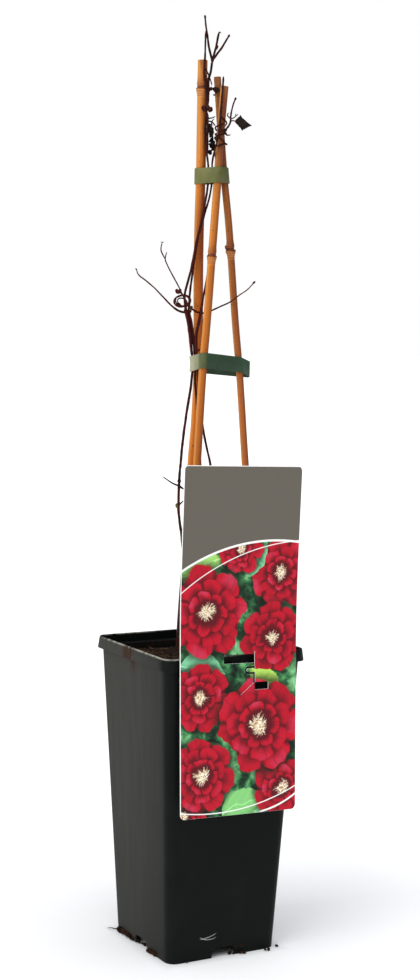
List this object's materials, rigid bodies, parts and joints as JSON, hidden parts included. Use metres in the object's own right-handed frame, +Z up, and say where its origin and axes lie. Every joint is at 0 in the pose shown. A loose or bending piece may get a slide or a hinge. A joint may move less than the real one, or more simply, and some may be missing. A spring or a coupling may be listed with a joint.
{
  "type": "clematis plant on a trellis",
  "caption": "Dormant climbing vine in a deep square pot, tied with plastic bands to a tripod trellis of bamboo canes, with a hang card hooked over the rim.",
  "frame": {"origin": "bottom centre of the whole object's bounding box, on the surface that the pot stands on", "axes": "+Z up along the canes; -Y out of the pot face that carries the hang card; +X to the right as that face is seen"},
  "size_m": [0.109, 0.1218, 0.6343],
  "materials": {
    "black_plastic": "matt moulded black with dust and soil smears",
    "potting_soil": "moist dark compost, rough and crumbly",
    "bamboo_golden": "smooth dry culm skin, satin, golden with redder stains",
    "bamboo_amber": "smooth dry culm skin, satin, amber",
    "bamboo_russet": "smooth dry culm skin, satin, reddish brown",
    "olive_plastic": "satin flat strip",
    "green_plastic": "satin flat strip",
    "card_plastic": "printed thin sheet, semi-gloss",
    "vine_bark": "dry ridged bark, dark red-brown"
  },
  "bodies": {
    "root": {"pot": "black_plastic", "soil": "potting_soil", "cane_back": "bamboo_golden", "cane_front": "bamboo_amber", "cane_right": "bamboo_russet", "tie_upper": "olive_plastic", "tie_lower": "green_plastic", "label": "card_plastic", "vine_left": "vine_bark", "vine_middle": "vine_bark", "vine_right": "vine_bark"}
  },
  "joints": []
}
